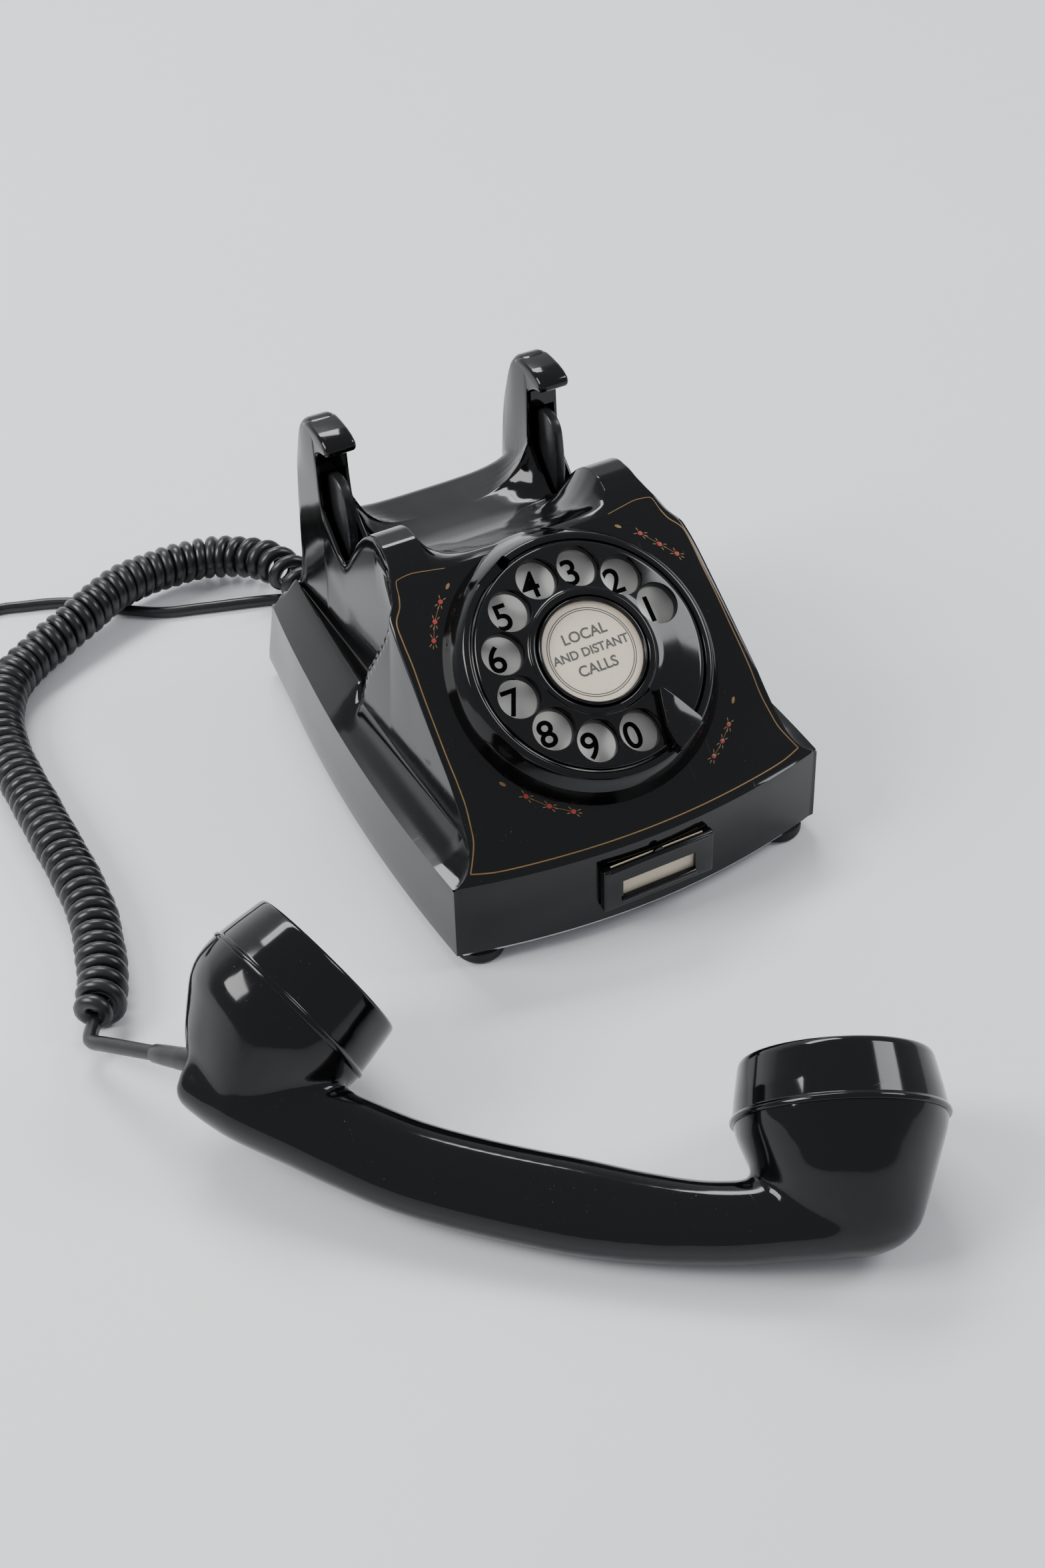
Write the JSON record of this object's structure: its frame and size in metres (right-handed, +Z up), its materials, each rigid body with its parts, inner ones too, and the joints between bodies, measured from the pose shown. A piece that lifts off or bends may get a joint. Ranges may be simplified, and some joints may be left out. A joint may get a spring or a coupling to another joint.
{
  "type": "rotary telephone",
  "caption": "Black moulded rotary-dial telephone with a two-horn cradle, curly-cord handset lying off the hook, card holder and rubber feet",
  "frame": {"origin": "centre of the body's footprint on the surface it stands on", "axes": "+Z up, -Y the dial side (front), +X to the right when facing the dial"},
  "size_m": [0.3201, 0.516, 0.1215],
  "materials": {
    "bakelite": "high gloss with fine dust and hairline scratches",
    "plated_steel": "satin plated",
    "brass_parts": "satin",
    "foot_rubber": "matte",
    "blackened_steel": "satin black",
    "card_paper": "aged cream",
    "clear_cover": "clear",
    "enamel_white": "gloss white enamel, black figures",
    "cord_rubber": "smooth satin",
    "plug_plastic": "moulded gloss",
    "insulating_board": "matte brown board",
    "coil_wrap": "varnished wrap",
    "aluminium_parts": "satin"
  },
  "bodies": {
    "base": {"base_plate": "plated_steel", "capacitor": "aluminium_parts", "card_frame": "bakelite", "card_window": "clear_cover", "cord_grommet_handset": "cord_rubber", "cord_grommet_line": "cord_rubber", "cradle_bracket": "plated_steel", "dial_case": "plated_steel", "dial_plate": "plated_steel", "finger_stop": "bakelite", "foot_front_left": "foot_rubber", "foot_front_right": "foot_rubber", "foot_rear_left": "foot_rubber", "foot_rear_right": "foot_rubber", "gong_left": "brass_parts", "gong_right": "brass_parts", "governor_cup": "plated_steel", "handset_cord": "cord_rubber", "hook_insert_left": "bakelite", "hook_insert_right": "bakelite", "housing": "bakelite", "housing_screw": "blackened_steel", "induction_coil": "insulating_board", "line_coil": "cord_rubber", "line_cord": "cord_rubber", "line_plug": "plug_plastic", "number_plate": "enamel_white", "pulse_contacts": "brass_parts", "ringer_coil_left": "coil_wrap", "ringer_coil_right": "coil_wrap", "ringer_frame": "plated_steel", "spring_barrel": "brass_parts", "switch_pile": "insulating_board", "terminal_strip": "insulating_board"},
    "finger_wheel": {"finger_wheel": "bakelite", "label_card": "card_paper", "label_window": "clear_cover", "label_ring": "bakelite", "dial_shaft": "plated_steel", "main_gear": "brass_parts"},
    "pulse_wheel": {"pulse_wheel": "brass_parts"},
    "governor": {"governor": "brass_parts"},
    "cradle": {"cradle_lever_left": "blackened_steel", "cradle_lever_right": "blackened_steel", "cradle_shaft": "plated_steel", "hook_arm": "plated_steel"},
    "clapper": {"clapper": "plated_steel"},
    "card": {"card": "card_paper"},
    "handset": {"handle": "bakelite", "transmitter_cap": "bakelite", "receiver_cap": "bakelite", "transmitter_capsule": "aluminium_parts", "receiver_capsule": "aluminium_parts", "handle_terminals": "brass_parts", "handset_sleeve": "cord_rubber"}
  },
  "joints": [
    {"name": "dial_turn", "type": "hinge", "parent": "base", "child": "finger_wheel", "pos_m": [0, -0.0503, 0.0805], "axis": [0, -0.6032, 0.7976], "range_deg": [-318, 0], "stiffness_Nm_per_rad": 0.003},
    {"name": "pulse_turn", "type": "hinge", "parent": "base", "child": "pulse_wheel", "pos_m": [-0.0194, -0.05923, 0.07374], "axis": [0, -0.6032, 0.7976], "continuous": true},
    {"name": "governor_turn", "type": "hinge", "parent": "base", "child": "governor", "pos_m": [0, -0.05308, 0.05019], "axis": [1, 0, 0], "continuous": true},
    {"name": "cradle_swing", "type": "hinge", "parent": "base", "child": "cradle", "pos_m": [0, 0.05, 0.062], "axis": [-1, 0, 0], "range_deg": [0, 13], "stiffness_Nm_per_rad": 0.25},
    {"name": "clapper_swing", "type": "hinge", "parent": "base", "child": "clapper", "pos_m": [0, 0.0386, 0.016], "axis": [0, 0, 1], "range_deg": [-6, 6]},
    {"name": "card_lift", "type": "slide", "parent": "base", "child": "card", "axis": [0, 0, 1], "range_m": [0, 0.016]},
    {"name": "handset_lift", "type": "slide", "parent": "base", "child": "handset", "axis": [0, 0, 1], "range_m": [0, 0.12]}
  ],
  "couplings": [
    {"joint": "pulse_turn", "follows": "dial_turn", "ratio": -4},
    {"joint": "governor_turn", "follows": "dial_turn", "ratio": -80}
  ]
}
